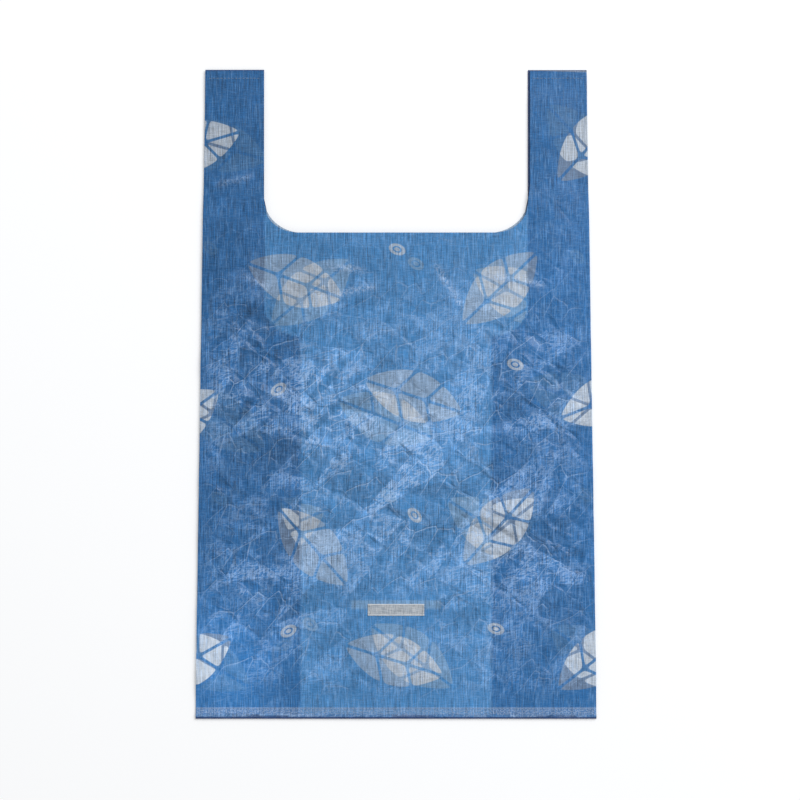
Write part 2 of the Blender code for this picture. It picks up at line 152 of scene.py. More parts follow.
def facet_field(rng, spacing, lengthen, angle):
    """Height of flat facets between scattered points, on a fine square grid over the bag.

    The facets are longer along the angle.
    """
    cos, sin = math.cos(angle), math.sin(angle)
    reach = math.hypot(BAG_WIDTH, BAG_HEIGHT) / 2 + 2 * spacing * lengthen
    columns = math.ceil(2 * reach / (spacing * lengthen))
    rows = math.ceil(2 * reach / spacing)
    steps = np.stack(np.meshgrid(np.arange(columns), np.arange(rows)), axis=-1).reshape(-1, 2)
    steps = (steps + rng.uniform(0.08, 0.92, steps.shape)) * spacing - (0, reach)
    steps[:, 0] = steps[:, 0] * lengthen - reach
    x = steps[:, 0] * cos - steps[:, 1] * sin
    y = steps[:, 0] * sin + steps[:, 1] * cos
    near = (np.abs(x) < BAG_WIDTH / 2 + 3 * spacing * lengthen)
    near &= np.abs(y) < BAG_HEIGHT / 2 + 3 * spacing * lengthen
    # Triangles are found in the squeezed frame, where the points are evenly spread.
    flat = [Vector((a / lengthen, b)) for a, b in steps[near]]
    _, _, triangles, sources, *_ = delaunay_2d_cdt(flat, [], [], 0, 1e-9, True)
    origin = [source[0] for source in sources]
    x, y = x[near][origin], y[near][origin]
    levels = rng.uniform(-1, 1, len(origin))
    height = np.zeros(field_shape)
    for a, b, c in triangles:
        xs, ys = x[[a, b, c]], y[[a, b, c]]
        i0, i1 = np.searchsorted(field_x, (xs.min(), xs.max()))
        j0, j1 = np.searchsorted(field_y, (ys.min(), ys.max()))
        area = (xs[1] - xs[0]) * (ys[2] - ys[0]) - (xs[2] - xs[0]) * (ys[1] - ys[0])
        if i0 == i1 or j0 == j1 or abs(area) < 1e-12:
            continue
        px, py = field_x[None, i0:i1] - xs[0], field_y[j0:j1, None] - ys[0]
        v = (px * (ys[2] - ys[0]) - py * (xs[2] - xs[0])) / area
        w = (py * (xs[1] - xs[0]) - px * (ys[1] - ys[0])) / area
        inside = (v >= -1e-9) & (w >= -1e-9) & (v + w <= 1 + 1e-9)
        value = levels[a] + v * (levels[b] - levels[a]) + w * (levels[c] - levels[a])
        height[j0:j1, i0:i1][inside] = value[inside]
        rng.random()  # this draw a facet keeps the next field's pattern
    return height


def softened(field, rounds):
    """The field with its cells blended with their neighbours."""
    for _ in range(rounds):
        field = (np.roll(field, 1, 0) + 2 * field + np.roll(field, -1, 0)) / 4
        field = (np.roll(field, 1, 1) + 2 * field + np.roll(field, -1, 1)) / 4
    return field


def sampled(field, x, y):
    """A field's value at points of the bag, read between its cells."""
    i = np.clip((x - field_x[0]) / FIELD_CELL, 0, field_shape[1] - 1.001)
    j = np.clip((y - field_y[0]) / FIELD_CELL, 0, field_shape[0] - 1.001)
    i0, j0 = i.astype(int), j.astype(int)
    u, v = i - i0, j - j0
    low = field[j0, i0] * (1 - u) + field[j0, i0 + 1] * u
    high = field[j0 + 1, i0] * (1 - u) + field[j0 + 1, i0 + 1] * u
    return low * (1 - v) + high * v


FIELD_CELL = 0.0006
FIELD_MARGIN = 0.006
field_x = np.arange(body_low.x - FIELD_MARGIN, body_high.x + FIELD_MARGIN, FIELD_CELL)
field_y = np.arange(body_low.y - FIELD_MARGIN, body_high.y + FIELD_MARGIN, FIELD_CELL)
field_shape = (len(field_y), len(field_x))

# Crumples, from the long folds to the finest ones: spacing, length share, angle, height
CRUMPLES = (
    (0.032, 1.8, math.radians(48), 0.00100),
    (0.025, 1.7, math.radians(-38), 0.00080),
    (0.0135, 1.9, math.radians(58), 0.00120),
    (0.0120, 1.6, math.radians(-28), 0.00100),
    (0.0070, 1.5, math.radians(40), 0.00045),
    (0.0045, 1.2, math.radians(-60), 0.00025),
)
CRUMPLE_SEED = 7
rng = np.random.default_rng(CRUMPLE_SEED)
fields = [facet_field(rng, spacing, longer, angle) for spacing, longer, angle, _ in CRUMPLES]
crumple = sum(field * tall for field, (*_, tall) in zip(fields, CRUMPLES))
folds = sum(field * tall for field, (*_, tall) in zip(fields[:2], CRUMPLES))

grid_x, grid_y = np.meshgrid(field_x, field_y)
CALM_DROP = 0.080  # the fabric gets smoother from this far below the mouth
CALM_SHARE = 0.25  # share of the crumples that is left at the mouth
HANDLE_CALM = 0.10  # the same in the handles
SIDE_RUN = 0.014  # how far from the side folds the crumples fade
LABEL_RUN = 0.018  # the same, from the label
FLATTEST = 0.1  # share of the crumples that is left at the seams
above_seam = smooth((grid_y - BOTTOM - BOTTOM_SEAM) / PRESSED_RUN)
below_top = smooth((TOP - TOP_SEAM - grid_y) / PRESSED_RUN)
near_mouth = smooth((grid_y - MOUTH + CALM_DROP) / CALM_DROP)
in_handles = smooth((grid_y - MOUTH - MOUTH_CORNER_HEIGHT) / (MOUTH_CORNER_HEIGHT * 2))
calm = 1 - (1 - CALM_SHARE) * near_mouth - (CALM_SHARE - HANDLE_CALM) * in_handles
beside_fold = 0.3 + 0.7 * smooth((side_edge(grid_y) - np.abs(grid_x)) / SIDE_RUN)
label_low, label_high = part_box("label")
LABEL_MIDDLE = (label_low.y + label_high.y) / 2
LABEL_HALF = (label_high.y - label_low.y) / 2
label_x = np.maximum(np.abs(grid_x) - label_high.x, 0)
label_y = np.maximum(np.abs(grid_y - LABEL_MIDDLE) - LABEL_HALF, 0)
off_label = 0.12 + 0.88 * smooth(np.hypot(label_x, label_y) / LABEL_RUN)
# Where the fabric was squeezed the most: x, y and radius
SQUEEZED = (
    (0.006, -0.078, 0.070),
    (-0.111, 0.010, 0.052),
    (0.104, -0.004, 0.050),
    (-0.043, -0.016, 0.045),
    (0.105, -0.122, 0.045),
    (-0.108, -0.146, 0.040),
)
squeezed = sum(
    np.exp(-((grid_x - x) ** 2 + (grid_y - y) ** 2) / radius ** 2) for x, y, radius in SQUEEZED
)
calm = calm * (0.50 + 0.62 * np.minimum(squeezed, 1.1))
off_seams = FLATTEST + (1 - FLATTEST) * above_seam
off_seams = off_seams * (FLATTEST + (1 - FLATTEST) * below_top)
lively = off_seams * calm * beside_fold * off_label

# Narrow bands where the smoother fabric near the mouth was pinched, each from x, y to x, y
PINCHES = (
    (-0.062, 0.099, -0.018, 0.093),
    (-0.122, 0.092, -0.088, 0.078),
    (-0.060, 0.074, -0.010, 0.083),
    (0.026, 0.104, 0.054, 0.062),
    (0.062, 0.090, 0.118, 0.084),
    (-0.142, 0.158, -0.106, 0.167),
)
PINCH_HALF_WIDTH = 0.0029
PINCH_WAVER = 0.0013
PINCH_FADE = 0.010


def pinch(x_from, y_from, x_to, y_to):
    """One such band: it wavers with the facets and fades at its ends."""
    reach_x, reach_y = x_to - x_from, y_to - y_from
    length = math.hypot(reach_x, reach_y)
    along = ((grid_x - x_from) * reach_x + (grid_y - y_from) * reach_y) / length
    aside = ((grid_y - y_from) * reach_x - (grid_x - x_from) * reach_y) / length
    aside = aside + PINCH_WAVER * (fields[3] - fields[3].mean())
    ends = smooth(along / PINCH_FADE) * smooth((length - along) / PINCH_FADE)
    return ends * np.exp(-(aside / PINCH_HALF_WIDTH) ** 2)


pinched = sum(pinch(*ends) for ends in PINCHES)
lively = lively + 0.45 * pinched
relief = softened(crumple, 2) * lively
HALF_FOLD = 0.0003  # height of the crease down the middle, where the bag was folded in half
relief += HALF_FOLD * np.exp(-np.abs(grid_x) / 0.004) * above_seam

# Sharp ridges of the long folds show as bright lines, and so do the middle fold and pinches.
bend = softened(folds, 1)
bend = (np.roll(bend, 1, 0) + np.roll(bend, -1, 0) + np.roll(bend, 1, 1) + np.roll(bend, -1, 1)
        - 4 * bend) / FIELD_CELL ** 2
CREASE_BEND = 130.0  # bend of a full crease, per metre
ridge = softened(np.clip(-bend / CREASE_BEND, 0, 1.5), 1) * (0.25 + 0.75 * calm)
ridge += 0.8 * np.exp(-((grid_x - 0.0004) / 0.0007) ** 2) * smooth((MOUTH - grid_y) / 0.05)
ridge = np.minimum(ridge, 1.0) + 1.9 * pinched


def facing(height, toward):
    """How far each facet is turned towards a direction, in shares of what is usual."""
    rise, run = np.gradient(height, FIELD_CELL)
    turned = -(run * toward[0] + rise * toward[1])
    return turned / turned.std()


# Painted light and shade: facets that face one way are painted lighter and milkier, those that
# face away stay deep.
PLANE_SHARES = (0.55, 0.52, 0.52, 0.20)
LIT_SIDE = (-0.62, 0.78)
facet_lighting = sum(facing(field, LIT_SIDE) * share for field, share in zip(fields, PLANE_SHARES))
facet_lighting = np.clip(facet_lighting, -2.2, 2.2)


def layer_height(layer, x, y):
    """Height of a layer: the back lies flat and the front takes the whole crumple.

    The handles' layers lie closer together, and the stack stands a little off the floor.
    """
    loose = np.minimum(smooth((y - BOTTOM - BOTTOM_SEAM) / PRESSED_RUN),
                       smooth((TOP - TOP_SEAM - y) / PRESSED_RUN))
    handle = smooth((y - MOUTH - MOUTH_CORNER_HEIGHT / 2) / HANDLE_RUN)
    open_pitch = LOOSE_PITCH - (LOOSE_PITCH - HANDLE_PITCH) * handle
    pitch = SEAM_PITCH + (open_pitch - SEAM_PITCH) * loose
    swell = SWELL * loose * smooth((side_edge(y) - np.abs(x)) / SWELL_RUN)
    share = layer / FRONT
    lift = LIFT + HANDLE_LIFT * handle * (0.6 + 0.4 * loose)
    return lift + layer * pitch + share * (sampled(relief, x, y) + swell)


# The print: leaves in staggered rows all round the tube, with small seeds between them
LEAF_LENGTH = 0.080
LEAF_WIDTH = 0.038
LEAF_TILT = math.radians(32)
VEINS = (-0.35, 0.25)  # where veins leave the midrib, the leaf's tips being at -1 and 1
VEIN_SLANT = 0.264  # how far a vein leans towards the tip, over the leaf's half width
PRINT_COLUMNS = 6  # leaves in one row, all the way round the bag
PRINT_ROW_PITCH = 0.096
SEED_LENGTH = 0.014
SEED_WIDTH = 0.009
PRINT_SEED = 11
TUBE = 2 * BAG_WIDTH + 4 * GUSSET_DEPTH  # all the way round the bag


def motif_places():
    """Each leaf's and each seed's place: how far round the tube, how far up, and its tilt."""
    leaves, seeds = [], []
    column_pitch = TUBE / PRINT_COLUMNS
    for row in range(math.ceil(BAG_HEIGHT / PRINT_ROW_PITCH)):
        for column in range(PRINT_COLUMNS):
            draw = random.Random(PRINT_SEED + row * PRINT_COLUMNS + column)
            along = (column + 0.5 * (row % 2) + draw.uniform(-0.1, 0.1)) * column_pitch
            y = BOTTOM + (row + 0.45 + draw.uniform(-0.12, 0.12)) * PRINT_ROW_PITCH
            tilt = LEAF_TILT * (1 if (row + column) % 2 else -1) + draw.uniform(-0.3, 0.3)
            leaves.append((along, y, tilt))
            seeds.append((along + column_pitch / 2, y + PRINT_ROW_PITCH / 4, tilt))
    return leaves, seeds


def motif_map(round_tube, y, faces, places, size):
    """Each face's corners in the frame of its nearest motif, whose tips are at -1 and 1."""
    corners_s, corners_y = round_tube[faces], y[faces]
    middle_s = corners_s.mean(1)
    best = np.full(len(faces), np.inf)
    found = np.zeros((len(faces), faces.shape[1], 2))
    for along, up, tilt in places:
        cos, sin = math.cos(tilt), math.sin(tilt)
        offset = (middle_s - along + TUBE / 2) % TUBE - TUBE / 2 - middle_s
        ds, dy = corners_s + offset[:, None], corners_y - up
        u = (ds * cos + dy * sin) / (size[0] / 2)
        v = (dy * cos - ds * sin) / (size[1] / 2)
        far = u.mean(1) ** 2 + v.mean(1) ** 2
        nearer = far < best
        best[nearer] = far[nearer]
        found[nearer] = np.stack([u, v], -1)[nearer]
    return found


def make_sheet(name, x, y, z, faces, tubes, values, printed_y=None):
    """A mesh of one sheet, with its print, the print seen through it, and values per point.

    tubes holds how far round the bag's tube each point is, and the fabric behind it.
    """
    used, faces = np.unique(faces, return_inverse=True)
    faces = faces.reshape(-1, 4)
    print_y = y if printed_y is None else printed_y
    pick = [np.broadcast_to(field, y.shape).ravel()[used] for field in (x, y, z, print_y, *tubes)]
    mesh = bpy.data.meshes.new(name)
    mesh.from_pydata(np.stack(pick[:3], 1).tolist(), [], faces.tolist())
    print_y, round_tube, behind_tube = pick[3:]
    leaves, seeds = motif_places()
    for label, tube in (("print", round_tube), ("through", behind_tube)):
        for kind, places, size in (
            ("leaf", leaves, (LEAF_LENGTH, LEAF_WIDTH)),
            ("seed", seeds, (SEED_LENGTH, SEED_WIDTH)),
        ):
            layer = mesh.uv_layers.new(name=f"{kind}_{label}")
            layer.data.foreach_set("uv", motif_map(tube, print_y, faces, places, size).ravel())
    for label, field in values.items():
        field = np.broadcast_to(field, y.shape).ravel()[used]
        made = mesh.attributes.new(label, "FLOAT", "POINT")
        made.data.foreach_set("value", field.astype(np.float32))
    mesh.shade_smooth()
    sheet = bpy.data.objects.new(name, mesh)
    bpy.context.scene.collection.objects.link(sheet)
    return sheet


def belongs(piece, node):
    """Every piece of the bag rides on its one body and stands for a CAD node."""
    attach(piece, "root")
    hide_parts(node)


class Tone:
    """A socket in a material's node tree; Python's operators on it add Math nodes."""

    def __init__(self, tree, socket=None):
        self.tree, self.socket = tree, socket

    def node(self, kind, settings=None, inputs=None, output=0):
        made = self.tree.nodes.new(kind)
        for name, value in (settings or {}).items():
            setattr(made, name, value)
        for name, value in (inputs or {}).items():
            if isinstance(value, Tone):
                self.tree.links.new(value.socket, made.inputs[name])
            else:
                made.inputs[name].default_value = value
        return Tone(self.tree, made.outputs[output])

    def maths(self, operation, *values):
        return self.node("ShaderNodeMath", {"operation": operation}, dict(enumerate(values)))

    def __add__(self, other):
        return self.maths("ADD", self, other)

    __radd__ = __add__

    def __sub__(self, other):
        return self.maths("SUBTRACT", self, other)

    def __rsub__(self, other):
        return self.maths("SUBTRACT", other, self)

    def __mul__(self, other):
        return self.maths("MULTIPLY", self, other)

    def __abs__(self):
        return self.maths("ABSOLUTE", self)

    def least(self, other, round_off=0.0):
        if round_off:
            return self.maths("SMOOTH_MIN", self, other, round_off)
        return self.maths("MINIMUM", self, other)

    def most(self, other):
        return self.maths("MAXIMUM", self, other)

    def step(self, low, high, start=0.0, end=1.0):
        """Ease from start to end as this value goes from low to high."""
        inputs = {"Value": self, 1: low, 2: high, 3: start, 4: end}
        return self.node("ShaderNodeMapRange", {"interpolation_type": "SMOOTHSTEP"}, inputs)

    def part(self, axis):
        return self.node("ShaderNodeSeparateXYZ", None, {0: self}, axis)

    def mix(self, factor, a, b):
        a, b = [(*c, 1.0) if isinstance(c, tuple) else c for c in (a, b)]
        return self.node("ShaderNodeMix", {"data_type": "RGBA"}, {0: factor, 6: a, 7: b}, 2)

    def shaded(self, colour, factor):
        """A colour times a number, through Vector Math."""
        settings = {"operation": "SCALE"}
        return self.node("ShaderNodeVectorMath", settings, {0: colour, "Scale": factor})

    def value(self, name):
        return self.node("ShaderNodeAttribute", {"attribute_name": name}, None, "Fac")

    def map(self, name):
        return self.node("ShaderNodeUVMap", {"uv_map": name})

    def squeezed(self, place, stretch, angle=0.0):
        """Coordinates that grow by one over the lengths in stretch, turned by an angle."""
        inputs = {"Vector": place, "Rotation": (0.0, 0.0, angle), "Scale": stretch}
        return self.node("ShaderNodeMapping", {"vector_type": "TEXTURE"}, inputs)

    def noise(self, place, stretch, detail=2.0, roughness=0.5, angle=0.0):
        """Noise from 0 to 1 with grains of the size stretch, in metres."""
        inputs = {"Vector": self.squeezed(place, stretch, angle), "Scale": 1.0}
        inputs.update({"Detail": detail, "Roughness": roughness})
        return self.node("ShaderNodeTexNoise", None, inputs)

    def vectors(self, operation, *values, output=0):
        settings = {"operation": operation}
        return self.node("ShaderNodeVectorMath", settings, dict(enumerate(values)), output)

    def threads(self, place, stretch, shift):
        """Thin, nearly straight lines that run along the longest stretch and fade out."""
        moved = self.vectors("ADD", place, (shift, shift, shift))
        line = 1 - abs(self.noise(moved, stretch, 1.0) * 2 - 1)
        present = self.noise(moved, (stretch[0], stretch[1] / 2, 1.0), 1.0)
        return line.step(0.84, 0.99) * present.step(0.38, 0.60)

    def creased(self, place, stretch, angle, warp):
        """Small flat facets of crumpled film: each one's number, its tilt and its creases.

        The tilt is a height in shares of a facet's size. A crease is 1 on the side of a
        facet that is turned to the light, and -1 on the side turned away.
        """
        cells = self.squeezed(place, stretch, angle)
        inputs = {"Vector": cells, "Scale": 0.8, "Detail": 2.0}
        bend = self.node("ShaderNodeTexNoise", None, inputs, 1)
        bend = self.vectors("SUBTRACT", bend, (0.5, 0.5, 0.5))
        cells = self.vectors("ADD", cells, self.vectors("MULTIPLY", bend, (warp, warp, 0.0)))
        inputs = {"Vector": cells, "Scale": 1.0}
        settings = {"voronoi_dimensions": "2D", "feature": "F1"}
        number = self.node("ShaderNodeTexVoronoi", settings, inputs, 1)
        middle = self.node("ShaderNodeTexVoronoi", settings, inputs, 2)
        settings = {"voronoi_dimensions": "2D", "feature": "DISTANCE_TO_EDGE"}
        edge = self.node("ShaderNodeTexVoronoi", settings, inputs)
        lean = self.vectors("SUBTRACT", number, (0.5, 0.5, 0.5))
        offset = self.vectors("SUBTRACT", cells, middle)
        tilt = self.vectors("DOT_PRODUCT", offset, lean, output=1)
        side = self.vectors("DOT_PRODUCT", offset, (0.8, 0.6, 0.0), output=1)
        side = side.step(0.18, 0.38) + side.step(-0.38, -0.18, -1.0, 0.0)
        return number.part(2), tilt * edge.step(0.0, 0.35), edge.step(0.050, 0.005) * side


def new_material(name):
    material = bpy.data.materials.new(name)
    material.use_nodes = True
    tree = material.node_tree
    return material, tree.nodes["Principled BSDF"], Tone(tree)


def feed(tone, shader, **values):
    """Values and links for the shader's sockets."""
    for name, value in values.items():
        socket = shader.inputs[name.replace("_", " ")]
        if isinstance(value, Tone):
            tone.tree.links.new(value.socket, socket)
        else:
            socket.default_value = value


SOFT_EDGE = 0.0007  # blur of the print's edges
LOBE_ROUNDING = 0.0045
SEED_RING = 0.42  # the blue ring's place, as a share of the seed
VEIN_WIDTH = 0.0024
RIB_WIDTH = 0.0022


def leaf_mask(tone, local):
    """Where a leaf's lobes are: inside its outline, off its midrib and off its veins."""
    u, v = local.part(0), abs(local.part(1))
    outline = (1 - u * u - v) * (LEAF_WIDTH / 2)
    rib = v * (LEAF_WIDTH / 2) - RIB_WIDTH / 2
    inside = outline.least(rib, LOBE_ROUNDING)
    slanted = u - v * VEIN_SLANT
    for station in VEINS:
        vein = abs(slanted - station) * (LEAF_LENGTH / 2) - VEIN_WIDTH / 2
        inside = inside.least(vein, LOBE_ROUNDING)
    return inside.step(-SOFT_EDGE / 2, SOFT_EDGE / 2)


def seed_mask(tone, local):
    """A pale oval with a blue ring in it."""
    u, v = local.part(0), local.part(1)
    far = (u * u + v * v).maths("SQRT", u * u + v * v)
    ring = abs(far - SEED_RING).step(0.06, 0.13)
    return far.step(1.0, 0.88) * ring


def print_mask(tone, label):
    """Where the fabric is left unprinted."""
    leaf = leaf_mask(tone, tone.map(f"leaf_{label}"))
    return leaf.most(seed_mask(tone, tone.map(f"seed_{label}")))


# Colours of the printed fabric as it lies on a white floor, by what is under it
BLUE_TWO = (0.060, 0.238, 0.53)  # over the back panel
BLUE_FOUR = (0.023, 0.140, 0.37)  # over the gusset's leaves and the back panel
PALE_TWO = (0.25, 0.37, 0.54)  # unprinted, over the back panel
PALE_FOUR = (0.135, 0.205, 0.33)
THROUGH_TWO = (0.165, 0.325, 0.545)  # blue over something unprinted
THROUGH_FOUR = (0.048, 0.165, 0.37)
PALE_OVER_PALE = (0.47, 0.53, 0.61)
HAZE_AND_SHEEN = (0.195, 0.385, 0.73)  # finely crumpled film that scatters the light, and painted sheen
HAZE_AND_SHEEN_FOUR = (0.100, 0.265, 0.59)
PALE_HAZE_AND_SHEEN = (0.38, 0.47, 0.62)
SEAM_TONE = (0.34, 0.44, 0.62)
THREAD_LIGHT = (0.27, 0.49, 0.82)
SINGLE = (0.40, 0.52, 0.66)  # one printed layer on the white floor
# Bright crease lines, in part painted highlights on the facets' lit edges
CREASE_LIGHT = (0.42, 0.58, 0.84)
# Painted shade along folded and cut edges
EDGE_SHADE = (0.015, 0.045, 0.16)


def printed_colour(tone, pale, stack, stacked):
    """Blue and unprinted fabric, each as what lies under it makes it look."""
    blue = tone.mix(stack, BLUE_TWO, BLUE_FOUR)
    unprinted = tone.mix(stack, PALE_TWO, PALE_FOUR)
    seed = seed_mask(tone, tone.map("seed_print"))
    unprinted = tone.mix(seed * 0.6, unprinted, PALE_OVER_PALE)
    if stacked:
        through = print_mask(tone, "through").most(tone.value("strip"))
        blue = tone.mix(through, blue, tone.mix(stack, THROUGH_TWO, THROUGH_FOUR))
        unprinted = tone.mix(through, unprinted, PALE_OVER_PALE)
    return tone.mix(pale, blue, unprinted)


def sewn(tone, place, colour):
    """The colour with the bottom seam's pale hatching and its line over it."""
    seam = tone.value("seam")
    hatch = tone.noise(place, (0.0011, 0.0009, 1.0), 1.0).step(0.40, 0.64)
    line = seam.step(0.32, 0.46) * seam.step(0.72, 0.58)
    return tone.mix((seam * (hatch * 0.55 + 0.15)).most(line * 0.6), colour, SEAM_TONE)


def make_fabric(name, stacked):
    """Printed fabric. stacked is True for the front, where the layers under it show through.

    The mesh gives, each per point: the stack, the strip, the ridges, the facets' painted light
    and shade, how lively the crumples are, the seam, the painted shade along the edges, where it
    is a single layer, and the painted lightening. A value that it doesn't have counts as 0.
    """
    material, shader, tone = new_material(name)
    place = tone.node("ShaderNodeTexCoord", None, None, "Object")
    pale = print_mask(tone, "print")
    stack = tone.value("stack")
    colour = printed_colour(tone, pale, stack, stacked)
    # Threads: fine light and dark ones up the bag, and shorter, weaker ones across it
    upright = tone.noise(place, (0.00066, 0.019, 1.0), 2.0, 0.6)
    across = tone.noise(place, (0.008, 0.0007, 1.0), 2.0, 0.5)
    light_thread = tone.threads(place, (0.0018, 0.026, 1.0), 0.0)
    dark_thread = tone.threads(place, (0.0019, 0.024, 1.0), 0.0005)
    cross_thread = tone.threads(place, (0.010, 0.0018, 1.0), 0.0009)
    broad = tone.noise(place, (0.060, 0.090, 1.0), 2.0, 0.5)
    blotch = tone.noise(place, (0.026, 0.034, 1.0), 2.0, 0.5)
    fine = tone.noise(place, (0.0016, 0.0021, 1.0), 3.0, 0.7)
    ripple = 1 - abs(tone.noise(place, (0.0100, 0.0026, 1.0), 2.0, 0.5, 0.25) * 2 - 1)
    crinkle = 1 - abs(tone.noise(place, (0.0028, 0.0072, 1.0), 2.0, 0.5, -0.7) * 2 - 1)
    lively = tone.value("lively")
    # Facets: each one scatters light by its own amount and leans its own way, and those facing
    # the light get a painted sheen
    large, large_tilt, large_edge = tone.creased(place, (0.034, 0.014, 1.0), 0.95, 0.5)
    middle, middle_tilt, middle_edge = tone.creased(place, (0.020, 0.009, 1.0), -0.60, 0.5)
    small, small_tilt, small_edge = tone.creased(place, (0.0085, 0.0046, 1.0), 0.35, 0.7)
    level = large.step(0.3, 0.4) * 0.18 + middle.step(0.3, 0.4) * 0.12 + small * 0.06
    level = level + tone.value("facet_lighting").step(-0.6, 0.8) * 0.74 + (blotch - 0.5) * 0.1
    hazy_and_sheen = level.step(0.25, 0.95) * lively
    veil_and_sheen = hazy_and_sheen * ((fine - 0.5) * 0.2 + (upright - 0.5) * 0.6 + 0.7).step(0.0, 1.0, 0.40, 1.0)
    veil_and_sheen_tone = tone.mix(pale, tone.mix(stack, HAZE_AND_SHEEN, HAZE_AND_SHEEN_FOUR), PALE_HAZE_AND_SHEEN)
    colour = tone.mix(veil_and_sheen * (0.165 - pale * 0.07 - stack * 0.02), colour, veil_and_sheen_tone)
    colour = sewn(tone, place, colour)
    # Bright lines: painted highlights on the facets' lit edges, fine crumples between them, and
    # sharp ridges; painted shade on the creases' sides turned away from the light
    lines = large_edge.most(middle_edge * 0.6).most(small_edge * 0.35) * fine.step(0.28, 0.50)
    crease_shade = large_edge.least(middle_edge * 0.5).least(0.0) * lively
    crumpled = ripple.step(0.86, 0.97) * small.step(0.35, 0.50)
    crumpled = crumpled.most(crinkle.step(0.86, 0.97) * middle.step(0.40, 0.55))
    lines = lines.most(crumpled * (hazy_and_sheen * 0.6 + 0.15) * fine.step(0.25, 0.50, 0.3, 1.0))
    lines = lines.most(tone.value("ridge") * fine.step(0.42, 0.58) * 0.7) * lively
    colour = tone.mix(lines * (0.66 - stack * 0.17), colour, CREASE_LIGHT)
    strands = light_thread.most(cross_thread * 0.6)
    colour = tone.mix(strands * (0.32 + hazy_and_sheen * 0.12 - stack * 0.10), colour, THREAD_LIGHT)
    weave = 1 + (upright - 0.5) * (1.5 + hazy_and_sheen * 0.7) + (across - 0.5) * 0.7 - dark_thread * 0.18
    speckle = (tone.noise(place, (0.0006, 0.0009, 1.0), 1.0) - 0.5) * (0.45 + hazy_and_sheen * 0.2)
    # Painted light and shade by how each facet faces the light, painted shade on the creases' far
    # sides, and a broad random tone
    painted_shade_and_broad_tone = tone.value("facet_lighting") * lively * 0.088 + crease_shade * 0.2 + (broad - 0.5) * 0.2
    colour = tone.shaded(colour, weave + speckle + painted_shade_and_broad_tone + tone.value("lighter"))
    colour = tone.mix(tone.value("single"), colour, tone.shaded(SINGLE, weave))
    # Painted shade along the folded and cut edges
    colour = tone.mix(tone.value("edge_shade"), colour, EDGE_SHADE)
    height = large_tilt * 0.0040 + middle_tilt * 0.0030 + small_tilt * 0.0009
    height = height * lively + upright * 0.00010 + across * 0.00005
    height = height + (fine * 0.00022 + ripple * 0.00030) * hazy_and_sheen
    bump = tone.node("ShaderNodeBump", None, {"Strength": 1.0, "Distance": 1.0, "Height": height})
    feed(tone, shader, Base_Color=colour, Roughness=0.32 + veil_and_sheen * 0.2, Normal=bump)
    feed(tone, shader, Specular_IOR_Level=0.36)
    return material


RIM = 0.0030  # narrow columns beside the handles' cut edges


def panel_columns(cell):
    """Columns across a panel, with a half round of fold steps past each side."""
    rims = [HANDLE_INNER + RIM * share for share in (0, 0.2, 0.4, 1)]
    marks = [INNER_FOLD, *rims, BAG_WIDTH / 2]
    marks = [-mark for mark in marks[::-1]] + marks
    across = stretched(marks, cell)
    turns = np.arange(1, FOLD_STEPS + 1) / FOLD_STEPS
    wide = np.full(FOLD_STEPS, BAG_WIDTH / 2)
    across = np.concatenate([-wide, across, wide])
    turn = np.concatenate([-turns[::-1], np.zeros(len(across) - 2 * FOLD_STEPS), turns])
    return across, turn


def folded(cut, z, reach):
    """Turns a panel's outer columns half round towards the layer that is reach away."""
    radius = abs(reach) / 2
    cut.x = cut.x + np.sign(cut.turn) * radius * np.sin(np.pi * np.abs(cut.turn))
    return z + np.sign(reach) * radius * (1 - np.cos(np.pi * np.abs(cut.turn)))


HANDLE_SET_BACK = 0.0014  # right handle's upper layers are cut narrower than the back panel
HANDLE_TOP_DROP = 0.0013
EDGE_SHADE_WIDTH = 0.0009  # width of the painted shade along cut and folded ends
FULL_EDGE_SHADE = 0.95


def set_back(cut):
    """Moves the right handle's inner edge and its top inwards from those of the back panel."""
    up = smooth((cut.y - MOUTH - MOUTH_CORNER_HEIGHT) / 0.015)
    share = np.clip((cut.x - HANDLE_INNER) / HANDLE_WIDTH, 0, 1)
    on_handle = (cut.x > HANDLE_INNER - NEAR) & (cut.y > MOUTH + MOUTH_CORNER_HEIGHT - NEAR)
    cut.x = cut.x + np.where(on_handle, HANDLE_SET_BACK * up * (1 - share), 0)
    near_top = smooth((cut.y - TOP + TOP_SEAM) / TOP_SEAM)
    cut.y = cut.y - np.where(on_handle, near_top * HANDLE_TOP_DROP * (0.5 + share), 0)


def ends_shade(y):
    """Painted shade: the dark line where the doubled fabric turns along the handles' tops and the
    bottom.
    """
    return FULL_EDGE_SHADE * smooth(1.4 - np.minimum(y - BOTTOM, TOP - y) / EDGE_SHADE_WIDTH)


def gusset_stack(x, y):
    """1 where gusset leaves lie under the panel, 0 where only the back panel does."""
    width = HANDLE_INNER - INNER_FOLD
    rise = corner_rise(x, INNER_FOLD, width, GUSSET_CORNER_HEIGHT)
    top = np.where(np.abs(x) > HANDLE_INNER - NEAR, TOP + 1.0, GUSSET_CUT + rise)
    beside = smooth((np.abs(x) - INNER_FOLD) / 0.0008 + 0.5)
    return beside * smooth((top - y) / 0.0014 + 0.5)


across, turn = panel_columns(FRONT_CELL)
mouth_corner = (MOUTH, HANDLE_INNER - MOUTH_CORNER_WIDTH, MOUTH_CORNER_WIDTH, MOUTH_CORNER_HEIGHT)
front = Cut(across, turn, FRONT_CELL, *mouth_corner)
set_back(front)
front_z = layer_height(FRONT, front.x, front.y)
leaf_z = layer_height(FRONT_LEAF, front.x, front.y)
flat_x = front.x.copy()
front_z = folded(front, front_z, leaf_z - front_z)
stack = gusset_stack(flat_x, front.y)
# What lies behind the front panel there: the gusset's upper leaf, or else the back panel
behind = np.where(
    stack > 0.5, np.sign(flat_x) * (2 * side_edge(front.y) - np.abs(flat_x)), TUBE / 2 - flat_x
)
